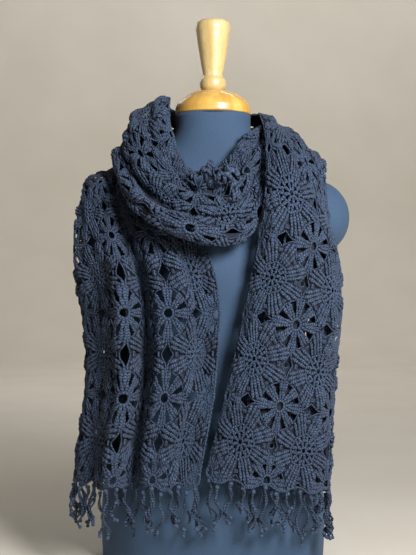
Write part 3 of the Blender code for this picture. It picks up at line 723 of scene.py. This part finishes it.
def thicken_web(bm, faces):
    """Give a web its thickness, and unwrap it to the twist's darkest place: the web is painted shade.
    """
    kept = set(bm.faces) - set(faces)
    bmesh.ops.recalc_face_normals(bm, faces=faces)
    bmesh.ops.solidify(bm, geom=faces, thickness=WEB_THICK)
    grain = bm.loops.layers.uv.verify()
    # the web takes the yarn's darkest colour: painted shade in the recesses behind the stitches, and
    # in the closed middles under other layers
    for face in set(bm.faces) - kept:
        for loop in face.loops:
            loop[grain].uv = (0.75, 0.0)


open_flower = make_flower(False)
close_flower = make_flower(True)

# %% [markdown]
# ## The star between four flowers
# Where four flowers meet, a small ring is worked. Eight spokes run out from it, each a fan of
# three ribs, to the flowers and to the diamonds. The drops between the spokes stay open,
# except in stars under another layer, which are closed like the flowers there. At the edges of
# the shawl a star has only the spokes that point into it.

# %%
EYELET = 0.0068
STAR_CORD = 0.0036
SPOKES = 8
SPOKE_SIDE = 0.20
SPOKE_REACH = (0.0335, 0.0305)
# the two stitches of a side rib: its start, its end if it stops before the spoke's, its width,
# and how far out its end stands, as a share of SPOKE_SIDE
SIDE_RIB = ((EYELET, 0.0190, 0.0046, 0.95), (0.0180, None, 0.0056, 0.72))
SIDE_LIFT = 0.0003
MIDDLE_START = 0.0120
MIDDLE_LIFT = 0.0010
MIDDLE_SIZE = (0.0048, 0.0034)
EDGE_SHIFT = 0.075
stars = {}


def make_star(spokes, worked_close):
    bm = bmesh.new()
    add_ring(bm, EYELET, STAR_CORD, 16)
    for spoke in spokes:
        middle = math.tau * spoke / SPOKES
        far = SPOKE_REACH[spoke % 2]
        for side in (-1, 1):
            for start, end, width, share in SIDE_RIB:
                foot = polar(middle + side * SPOKE_SIDE, start, SIDE_LIFT)
                tip = polar(middle + side * (SPOKE_SIDE * share), end or far, SIDE_LIFT)
                add_post(bm, foot, tip, width, POST_HIGH)
        ends = [polar(middle, radius, MIDDLE_LIFT) for radius in (MIDDLE_START, far - LAP)]
        add_post(bm, *ends, *MIDDLE_SIZE)
    if worked_close:
        middle = bm.verts.new((0.0, 0.0, WEB_LIFT))
        tips = {}
        for spoke in spokes:
            tips[spoke] = bm.verts.new(polar(math.tau * spoke / SPOKES, STAR_ROOM, WEB_LIFT))
        pairs = [(spoke, (spoke + 1) % SPOKES) for spoke in spokes if (spoke + 1) % SPOKES in tips]
        thicken_web(bm, [bm.faces.new((middle, tips[a], tips[b])) for a, b in pairs])
    bmesh.ops.scale(bm, vec=(1, STRETCH, 1), verts=bm.verts)
    return smooth_mesh("star_of_%d" % len(spokes), bm)


def star_at(column, row, worked_close):
    """The star pattern for a crossing of the cells, and where its middle goes."""
    spokes = []
    for spoke in range(SPOKES):
        run = round(math.cos(math.tau * spoke / SPOKES), 3)
        rise = round(math.sin(math.tau * spoke / SPOKES), 3)
        off_side = (column == 0 and run < 0) or (column == MOTIFS_ACROSS and run > 0)
        off_hem = (row == 0 and rise < 0) or (row == MOTIFS_LONG and rise > 0)
        if not off_side and not off_hem:
            spokes.append(spoke)
    key = (tuple(spokes), worked_close)
    if key not in stars:
        stars[key] = make_star(*key)
    place = (min(max(column, EDGE_SHIFT), MOTIFS_ACROSS - EDGE_SHIFT),
             min(max(row, EDGE_SHIFT), MOTIFS_LONG - EDGE_SHIFT))
    return stars[key], place


# %% [markdown]
# ## The hems' scallops
# Petal tips pull a hem down and the stars between them hold it up, so it hangs in scallops.

# %%
# both in motifs: how far a scallop dips, and how far up from the hem it is felt
HEM_DIP = 0.075
HEM_REACH = 0.35


def hem_scallop(across, along):
    """How far a place near a hem hangs past it, in motifs along."""
    dip = HEM_DIP * (0.5 - 0.5 * np.cos(4 * np.pi * across)) - 0.25 * HEM_DIP
    low = np.clip(1 - along / HEM_REACH, 0, 1)
    high = np.clip(1 - (MOTIFS_LONG - along) / HEM_REACH, 0, 1)
    return dip * (high**2 - low**2)


# %% [markdown]
# ## The edging
# One row of short stitches runs round the whole shawl and closes the outer cells.

# %%
EDGE_STITCHES = 20
EDGE_LAP = 0.0004
EDGE_STITCH = (0.0046, 0.0036)
# how far in from the shawl's edge the row runs, in motifs
EDGING_IN = 0.022


def make_edging(length, turned):
    """One cell's length of edging stitches, in a line through the pattern's middle."""
    bm = bmesh.new()
    pitch = length / EDGE_STITCHES
    for number in range(EDGE_STITCHES):
        start = (number - EDGE_STITCHES / 2) * pitch
        ends = [(0.0, start - EDGE_LAP, 0.0), (0.0, start + pitch + EDGE_LAP, 0.0)]
        if turned:
            ends = [(y, x, z) for x, y, z in ends]
        add_post(bm, *ends, *EDGE_STITCH)
    return smooth_mesh("edging", bm)


side_edging = make_edging(MOTIF_LENGTH, False)
hem_edging = make_edging(MOTIF_WIDTH, True)


# %% [markdown]
# ## Laying the lace
# Each stretch takes its own rows of flowers and stars. The flat patterns are added at their
# places, and then every point is moved onto the draped sheet, so a stitch keeps its height
# off the cloth whichever way the cloth turns.

# %%
STRETCHES = [
    ("right_panel", 0, 5),
    ("nape_over", 5, 7),
    ("cowl", 7, 11),
    ("nape_under", 11, 13),
    ("left_panel", 13, 18),
]
# the first column of each stretch that is worked close, because it is folded under or lies
# under another layer
FIRST_UNDER = {"right_panel": 2, "nape_over": 0, "cowl": 2, "nape_under": 0, "left_panel": 3}


def lay_lace(node, first, last):
    """The stitches of the rows of flowers from first to last, on one object."""
    bm = bmesh.new()
    places = []

    def lay(pattern, place):
        bm.from_mesh(pattern)
        places.extend([place] * len(pattern.vertices))

    for row in range(first, last):
        for column in range(MOTIFS_ACROSS):
            flower = close_flower if column >= FIRST_UNDER[node] else open_flower
            lay(flower, (column + 0.5, row + 0.5))
    for row in range(first, last + (last == MOTIFS_LONG)):
        for column in range(MOTIFS_ACROSS + 1):
            lay(*star_at(column, row, column > FIRST_UNDER[node]))
    for row in range(first, last):
        for side in (EDGING_IN, MOTIFS_ACROSS - EDGING_IN):
            lay(side_edging, (side, row + 0.5))
    for hem, line in ((0, EDGING_IN), (MOTIFS_LONG, MOTIFS_LONG - EDGING_IN)):
        for column in range(MOTIFS_ACROSS if hem in (first, last) else 0):
            lay(hem_edging, (column + 0.5, line))
    mesh = bpy.data.meshes.new(node + "_lace")
    bm.to_mesh(mesh)
    bm.free()
    flat = np.empty(len(mesh.vertices) * 3)
    mesh.vertices.foreach_get("co", flat)
    flat = flat.reshape(-1, 3)
    across, along = (np.array(places) + flat[:, :2] / (MOTIF_WIDTH, MOTIF_LENGTH)).T
    draped = on_cloth(across, along + hem_scallop(across, along), flat[:, 2])
    mesh.vertices.foreach_set("co", draped.ravel())
    mesh.update()
    piece = bpy.data.objects.new(node + "_lace", mesh)
    bpy.context.scene.collection.objects.link(piece)
    print(piece.name, "has", len(mesh.polygons), "faces")
    return piece


laces = {}
for node, first, last in STRETCHES:
    laces[node] = lay_lace(node, first, last)

# %% [markdown]
# ## The fringe
# Cut yarns are looped through the hem's edge and knotted. Each strand here is two or more thin
# cords that twist round each other, drawn down step by step from the knot, and each sways a
# little. Every cord ends in a small knot, and some strands have one more halfway down.

# %%
STRANDS = 22
STRAND_SHORT = 0.040
STRAND_LONG = 0.075
STRAND_SWAY = 0.0042
CORD = 0.0031
CORD_SIDES = 6
KNOT = 0.0060
LEAN = 0.006
DROPS = 14
# the angle that cords twist through, how far apart they lie for each one in the strand, and
# how much further apart the ends of a plain strand and of a loose one come
TWIST = 11.0
APART = 0.00042
ENDS_APART = (0.8, 2.2)
# at each hem, the strands that are bunched into thick tassels
TASSELS = {0: (11, 12, 13), MOTIFS_LONG: (0, 5, 17)}
PLIES = {"tassel": 5, "full": 3, "plain": 2}


def strand_length(number):
    """Uneven lengths that follow a rule: a slow swell and a quick change from strand to strand."""
    mix = 0.5 + 0.3 * math.sin(1.7 * number + 0.6) + 0.2 * math.sin(4.1 * number)
    return STRAND_SHORT + (STRAND_LONG - STRAND_SHORT) * mix


def draw_cord(bm, points, thick):
    """A round cord down through points: a disc, extruded from each point to the next."""
    before = set(bm.faces)
    disc = bmesh.ops.create_circle(bm, cap_ends=True, segments=CORD_SIDES, radius=thick / 2)
    bmesh.ops.translate(bm, verts=disc["verts"], vec=points[0])
    face = disc["verts"][0].link_faces[0]
    for here, beyond in zip(points, points[1:]):
        kept = bmesh.ops.extrude_face_region(bm, geom=[face])["geom"]
        moved = [item for item in kept if isinstance(item, bmesh.types.BMVert)]
        face = next(item for item in kept if isinstance(item, bmesh.types.BMFace))
        bmesh.ops.translate(bm, verts=moved, vec=Vector(beyond) - Vector(here))
    xs, ys, heights = zip(*points[::-1])
    grain = bm.loops.layers.uv.verify()
    for new in set(bm.faces) - before:
        turns = []
        for loop in new.loops:
            spot = loop.vert.co
            x = np.interp(spot.z, heights, xs)
            y = np.interp(spot.z, heights, ys)
            turns.append(math.atan2(spot.y - y, spot.x - x) / math.tau)
        for loop, turn in zip(new.loops, join_turns(turns)):
            loop[grain].uv = (turn, loop.vert.co.z / YARN)


def add_knot(bm, place, size):
    knot = bmesh.ops.create_uvsphere(bm, u_segments=7, v_segments=5, radius=size / 2)["verts"]
    bmesh.ops.translate(bm, verts=knot, vec=place)


def cord_points(root, number, ply, plies):
    """The way down of one cord of a strand, in DROPS steps."""
    # some neighbours lean together, as knotted pairs do
    lean = LEAN * math.sin(2.2 * number + 0.7)
    cut = strand_length(number) * (1 - 0.16 * math.sin(2.9 * number + 2.1 * ply) ** 2)
    points = []
    for drop in range(DROPS + 1):
        share = drop / DROPS
        twist = TWIST * share + math.tau * ply / plies
        apart = APART * plies * (1 + ENDS_APART[number % 5 == 0] * share**2)
        sway = STRAND_SWAY * (0.3 + share)
        x = root[0] + lean * share + sway * math.sin(8.5 * share + 2.3 * number)
        y = root[1] + sway * math.cos(7.8 * share + 1.1 * number)
        z = root[2] - 0.001 - cut * share
        points.append((x + apart * math.cos(twist), y + apart * math.sin(twist), z))
    return points


def make_fringe(name, hem):
    bm = bmesh.new()
    for number in range(STRANDS):
        place = np.array([(number + 0.5) * MOTIFS_ACROSS / STRANDS]), np.array([float(hem)])
        root = on_cloth(place[0], place[1] + hem_scallop(*place), np.array([0.0]))[0]
        kind = "tassel" if number in TASSELS[hem] else "full" if number % 4 == 2 else "plain"
        for ply in range(PLIES[kind]):
            points = cord_points(root, number, ply, PLIES[kind])
            draw_cord(bm, points, CORD)
            add_knot(bm, points[-1], CORD * 1.7)
        add_knot(bm, (root[0], root[1], root[2] - KNOT / 2), KNOT)
        if number % 3 == 1:
            add_knot(bm, points[DROPS // 2], KNOT * 0.9)
    return add_object(name, bm)


def add_object(name, bm):
    piece = bpy.data.objects.new(name, smooth_mesh(name, bm))
    bpy.context.scene.collection.objects.link(piece)
    return piece


fringes = {
    "right_fringe": make_fringe("right_fringe_yarn", 0),
    "left_fringe": make_fringe("left_fringe_yarn", MOTIFS_LONG),
}

# %% [markdown]
# ## The torso
# The cover of a dress form is one smooth skin of stretch jersey. It is lofted ring by ring
# through the sections, because no operator joins unlike sections, and the short arm stubs
# are joined on as in the solid.

# %%
AROUND = 112
RINGS = 110


def make_torso():
    bm = bmesh.new()
    heights = np.linspace(0.0, NECK_TOP, RINGS)
    rings = []
    for z, (half, front, behind) in zip(heights, form_sizes(heights)):
        ring = []
        for j in range(AROUND):
            angle = math.tau * j / AROUND
            c = math.cos(angle)
            s = math.sin(angle)
            reach = (abs(c) ** FORM_CORNER + abs(s) ** FORM_CORNER) ** (-1 / FORM_CORNER)
            ring.append(bm.verts.new((half * c * reach, (front if s < 0 else behind) * s * reach, z)))
        rings.append(ring)
    for low, high in zip(rings, rings[1:]):
        for j in range(AROUND):
            n = (j + 1) % AROUND
            bm.faces.new([low[j], low[n], high[n], high[j]])
    bm.faces.new(rings[0][::-1])
    bm.faces.new(rings[-1])
    return bm


def make_stub(side):
    bm = bmesh.new()
    bmesh.ops.create_uvsphere(bm, u_segments=48, v_segments=32, radius=1.0)
    bmesh.ops.scale(bm, verts=bm.verts, vec=ARM_HALF)
    bmesh.ops.translate(bm, verts=bm.verts, vec=(side * (ARM_REACH - ARM_HALF[0]), 0.0, ARM_HIGH))
    return bm


torso = add_object("jersey_torso", make_torso())
for side in (-1, 1):
    stub = add_object("stub_cutter", make_stub(side))
    union = torso.modifiers.new("stub", "BOOLEAN")
    union.operation = "UNION"
    union.solver = "EXACT"
    union.object = stub
    bpy.context.view_layer.objects.active = torso
    bpy.ops.object.modifier_apply(modifier=union.name)
    bpy.data.objects.remove(stub, do_unlink=True)
print("torso has", len(torso.data.polygons), "faces")

# %% [markdown]
# ## The turned cap and handle
# Both are turned from pale wood on a lathe and varnished. An outline spun round the upright
# axis makes each, with a smooth curve through the solid's own outline.

# %%
# distance from the axis, and height above the foot
CAP_OUTLINE = [
    (0.0000, 0.0370), (0.0110, 0.0370), (0.0220, 0.0366), (0.0330, 0.0330), (0.0450, 0.0258),
    (0.0530, 0.0183), (0.0560, 0.0120), (0.0564, 0.0060), (0.0560, 0.0012), (0.0540, 0.0002),
    (0.0000, 0.0002),
]
HANDLE_OUTLINE = [
    (0.0000, 0.1052), (0.0120, 0.1051), (0.0210, 0.1044), (0.0247, 0.1018), (0.0258, 0.0970),
    (0.0246, 0.0830), (0.0205, 0.0560), (0.0172, 0.0360), (0.0152, 0.0240), (0.0153, 0.0222),
    (0.0160, 0.0205), (0.0188, 0.0168), (0.0198, 0.0100), (0.0188, 0.0040), (0.0160, 0.0004),
    (0.0000, 0.0004),
]
CAP_FOOT = NECK_TOP + 0.0003
HANDLE_FOOT = CAP_FOOT + 0.0373
# how many places the curve is read at, and how near two points on the axis become one
FINE_CUTS = 160
AXIS_JOIN = 0.00002


def turn_on_lathe(name, outline, foot):
    """Spin an outline round the upright axis, after rounding it with a smooth curve."""
    steps = np.hypot(*np.diff(outline, axis=0).T)
    knots = np.concatenate([[0.0], np.cumsum(steps)])
    fine = np.unique(np.concatenate([np.linspace(0, knots[-1], FINE_CUTS), knots]))
    rows = smooth_curve(knots, outline, fine)
    rows[0, 0] = rows[-1, 0] = 0.0
    bm = bmesh.new()
    spin_outline(bm, [(max(radius, 0.0), 0.0, foot + high) for radius, high in rows])
    bmesh.ops.remove_doubles(bm, verts=bm.verts, dist=AXIS_JOIN)
    return add_object(name, bm)


cap = turn_on_lathe("turned_cap", CAP_OUTLINE, CAP_FOOT)
handle = turn_on_lathe("turned_handle", HANDLE_OUTLINE, HANDLE_FOOT)

# %% [markdown]
# ## Finishes
# Yarn is a twist of dull fibres: stripes that meet in a V along each stitch, with painted shade
# in the grooves between them, and a fine fuzz over them. Jersey is a much finer knit of the same
# kind. The wood is pale and varnished, with grain that runs up the turning.

# %%
WHITE = (1.0, 1.0, 1.0)
# the share of a turn at which a stitch's stripes meet
ROOT = 0.75


class Finish:
    """A material, and the few kinds of node that the finishes here are made of."""

    def __init__(self, name, roughness, sheen, coat=0.0):
        self.material = bpy.data.materials.new(name)
        self.material.use_nodes = True
        self.nodes = self.material.node_tree.nodes
        self.link = self.material.node_tree.links.new
        self.shader = self.nodes["Principled BSDF"]
        self.shader.inputs["Roughness"].default_value = roughness
        self.shader.inputs["Sheen Weight"].default_value = sheen
        self.shader.inputs["Sheen Roughness"].default_value = 0.5
        self.shader.inputs["Coat Weight"].default_value = coat
        self.shader.inputs["Coat Roughness"].default_value = 0.12
        self.places = self.nodes.new("ShaderNodeTexCoord").outputs

    def fill(self, sockets, *values):
        """Give each socket its value: a number or colour, or what comes out of another node."""
        for socket, value in zip(sockets, values):
            if isinstance(value, bpy.types.NodeSocket):
                self.link(value, socket)
            else:
                socket.default_value = value

    def add(self, kind, **values):
        node = self.nodes.new("ShaderNode" + kind)
        self.fill([node.inputs[name] for name in values], *values.values())
        return node

    def noise(self, scale, detail, stretch=(1, 1, 1)):
        """Noise of a size: scale is its number of lumps to the metre."""
        mapping = self.add("Mapping", Vector=self.places["Object"], Scale=stretch)
        noise = self.add("TexNoise", Vector=mapping.outputs["Vector"], Scale=scale, Detail=detail)
        return noise.outputs["Fac"]

    def ramp(self, factor, *stops):
        """Turn a factor into a colour, through stops of (place, colour)."""
        ramp = self.add("ValToRGB", Fac=factor)
        elements = ramp.color_ramp.elements
        while len(elements) < len(stops):
            elements.new(0.5)
        for element, (place, colour) in zip(elements, stops):
            element.position = place
            element.color = (*colour, 1.0)
        return ramp.outputs["Color"]

    def multiply(self, first, second, factor=1.0):
        """Darken one colour by another."""
        mix = self.add("Mix")
        mix.data_type = "RGBA"
        mix.blend_type = "MULTIPLY"
        self.fill([mix.inputs[name] for name in ("Factor", "A", "B")], factor, first, second)
        return mix.outputs["Result"]

    def math(self, operation, first, second):
        node = self.add("Math")
        node.operation = operation
        self.fill(node.inputs, first, second)
        return node.outputs[0]

    def cover(self, colour, heights=(), strength=0.0, distance=0.0):
        """Colour the shader, and bump it by several heights, one node after another."""
        self.link(colour, self.shader.inputs["Base Color"])
        normal = {}
        for height in heights:
            bump = self.add("Bump", Strength=strength, Distance=distance, Height=height, **normal)
            normal = {"Normal": bump.outputs["Normal"]}
            self.link(bump.outputs["Normal"], self.shader.inputs["Normal"])
        return self.material


def yarn_material(name, dark, light):
    finish = Finish(name, 0.9, 0.05)
    split = finish.add("SeparateXYZ", Vector=finish.places["UV"])
    # the twist: stripes that meet in a V along each stitch
    side = finish.math("ABSOLUTE", finish.math("SUBTRACT", split.outputs["X"], ROOT), 0.0)
    turns = finish.math("MULTIPLY", side, 2.2)
    rows = finish.math("MULTIPLY", split.outputs["Y"], 0.75)
    wave = finish.math("PINGPONG", finish.math("ADD", turns, rows), 0.5)
    fuzz = finish.noise(900.0, 4.0)
    middling = tuple((a + b) / 2 for a, b in zip(dark, light))
    fibre = finish.ramp(fuzz, (0.34, dark), (0.52, middling), (0.72, light))
    patches = finish.ramp(finish.noise(45.0, 2.0), (0.3, (0.72, 0.72, 0.74)), (0.7, WHITE))
    # the twist's grooves are darkened in colour: this is painted shade between the stripes
    twist = finish.ramp(wave, (0.0, (0.10, 0.11, 0.14)), (0.42, WHITE))
    colour = finish.multiply(finish.multiply(fibre, patches), twist)
    return finish.cover(colour, [wave, fuzz], 0.8, 0.0011)


def jersey_material(name, dark, light):
    finish = Finish(name, 0.85, 0.04)
    knit = finish.add("TexWave", Vector=finish.places["Object"], Scale=260.0, Distortion=1.5,
                      Detail=2.0)
    knit.bands_direction = "DIAGONAL"
    fuzz = finish.noise(1400.0, 2.0)
    colour = finish.ramp(fuzz, (0.3, dark), (0.7, light))
    patches = finish.ramp(finish.noise(14.0, 2.0), (0.3, (0.9, 0.9, 0.9)), (0.7, WHITE))
    stitches = finish.ramp(knit.outputs["Fac"], (0.0, (0.78, 0.78, 0.80)), (0.6, WHITE))
    colour = finish.multiply(finish.multiply(colour, patches), stitches, 0.6)
    return finish.cover(colour, [knit.outputs["Fac"], fuzz], 0.25, 0.0004)


def wood_material(name, dark, light):
    finish = Finish(name, 0.38, 0.0, coat=0.5)
    figure = finish.ramp(finish.noise(55.0, 3.0, (1, 1, 0.12)), (0.35, dark), (0.65, light))
    pores = finish.noise(700.0, 2.0, (1, 1, 0.06))
    shade = finish.ramp(pores, (0.3, (0.84, 0.80, 0.74)), (0.55, WHITE))
    return finish.cover(finish.multiply(figure, shade, 0.8), [pores], 0.08, 0.0003)


def paper_material(name, dark, light):
    finish = Finish(name, 0.9, 0.0)
    colour = finish.ramp(finish.noise(3.0, 2.0), (0.3, dark), (0.7, light))
    return finish.cover(colour)


yarn = yarn_material("slate_yarn", (0.006, 0.013, 0.034), (0.128, 0.215, 0.395))
jersey = jersey_material("slate_jersey", (0.036, 0.072, 0.136), (0.056, 0.112, 0.204))
# a near-black jersey for the ring under the cap: painted shadow
painted_cap_shadow = jersey_material("painted_cap_shadow", (0.012, 0.016, 0.024), (0.030, 0.036, 0.048))
handle_wood = wood_material("pale_wood", (0.62, 0.44, 0.17), (0.80, 0.62, 0.30))
cap_wood = wood_material("honey_wood", (0.66, 0.36, 0.07), (0.84, 0.52, 0.13))
paper = paper_material("pale_paper", (0.74, 0.69, 0.60), (0.79, 0.74, 0.65))

# %% [markdown]
# ## The painted shadow under the cap
# A thin near-black ring at the top of the neck is painted shadow: it stands for the shade in
# the narrow gap under the cap's rim.

# %%
SHADOW_RING_OUT = 0.0562
SHADOW_RING_THICK = 0.0016
SHADOW_RING_DOWN = 0.0012
cap_shadow_bm = bmesh.new()
add_ring(cap_shadow_bm, SHADOW_RING_OUT, SHADOW_RING_THICK, SPIN_STEPS)
bmesh.ops.translate(cap_shadow_bm, verts=cap_shadow_bm.verts, vec=(0, 0, NECK_TOP - SHADOW_RING_DOWN))
cap_shadow_ring = add_object("cap_shadow_ring", cap_shadow_bm)

# %% [markdown]
# ## What stands for what
# Each piece names the solid that it replaces and rides on the one body.

# %%
def dress(piece, material, slot, *nodes):
    """Give a piece its finish, and say which solids it stands for."""
    piece.data.materials.clear()
    piece.data.materials.append(material)
    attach(piece, "root")
    if nodes:
        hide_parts(*nodes)


for node, first, last in STRETCHES:
    dress(laces[node], yarn, "crochet_yarn", node)
for node in ("right_fringe", "left_fringe"):
    dress(fringes[node], yarn, "crochet_yarn", node)
dress(torso, jersey, "jersey_cover", "dress_form")
# the dark ring under the cap is painted shadow
dress(cap_shadow_ring, painted_cap_shadow, "jersey_cover")
dress(cap, cap_wood, "varnished_wood", "neck_cap")
dress(handle, handle_wood, "varnished_wood", "handle")

# %% [markdown]
# ## Floor, light and camera
# The form stands in a wide bowl of pale paper, whose flat floor bends up all round into a
# wall. A soft light high in front, on the right, leaves the left side in shade. A second one
# lights the paper behind, and a weak third one the back of the form. The camera is level and
# stands at the height of the chest.

# %%
BOWL_FLAT = 3.4
BOWL_BEND = 0.9
BOWL_HIGH = 3.6
BEND_STEPS = 16
MIDDLE_OF_FORM = (0, 0, 0.45)

line = [(0.0, 0.0, 0.0)]
for step in range(BEND_STEPS + 1):
    angle = math.pi / 2 * step / BEND_STEPS
    out = BOWL_FLAT + BOWL_BEND * math.sin(angle)
    line.append((0.0, out, BOWL_BEND * (1 - math.cos(angle))))
line.append((0.0, BOWL_FLAT + BOWL_BEND, BOWL_HIGH))
floor_bm = bmesh.new()
spin_outline(floor_bm, line)
bmesh.ops.remove_doubles(floor_bm, verts=floor_bm.verts, dist=0.0001)
sweep = add_object("pale_sweep", floor_bm)
sweep.data.materials.append(paper)

# name, place, what it is aimed at, size in metres and power in watts
for name, place, aim, size, power in (
    ("key_light", (0.62, -1.18, 0.99), MIDDLE_OF_FORM, 0.45, 31),
    ("back_light", (0.3, 2.1, 3.2), (0, 4.2, 0.8), 1.6, 46),
    ("rear_light", (-1.3, 2.0, 1.9), MIDDLE_OF_FORM, 1.2, 8),
):
    lamp = bpy.data.lights.new(name, "AREA")
    lamp.size = size
    lamp.energy = power
    light = bpy.data.objects.new(name, lamp)
    light.location = place
    light.rotation_euler = (Vector(aim) - Vector(place)).to_track_quat("-Z", "Y").to_euler()
    bpy.context.scene.collection.objects.link(light)

world = bpy.data.worlds.new("soft_room")
world.use_nodes = True
world.node_tree.nodes["Background"].inputs["Color"].default_value = (1.0, 0.97, 0.92, 1.0)
world.node_tree.nodes["Background"].inputs["Strength"].default_value = 0.015
bpy.context.scene.world = world
bpy.context.scene.view_settings.view_transform = "Standard"

EYE = (-0.0075, -1.5, 0.4155)
LENS = 64.9
view = bpy.data.cameras.new("photo_view")
view.lens = LENS
view.clip_start = 0.05
camera = bpy.data.objects.new("photo_view", view)
camera.location = EYE
camera.rotation_euler = (math.pi / 2, 0.0, 0.0)
bpy.context.scene.collection.objects.link(camera)
bpy.context.scene.camera = camera
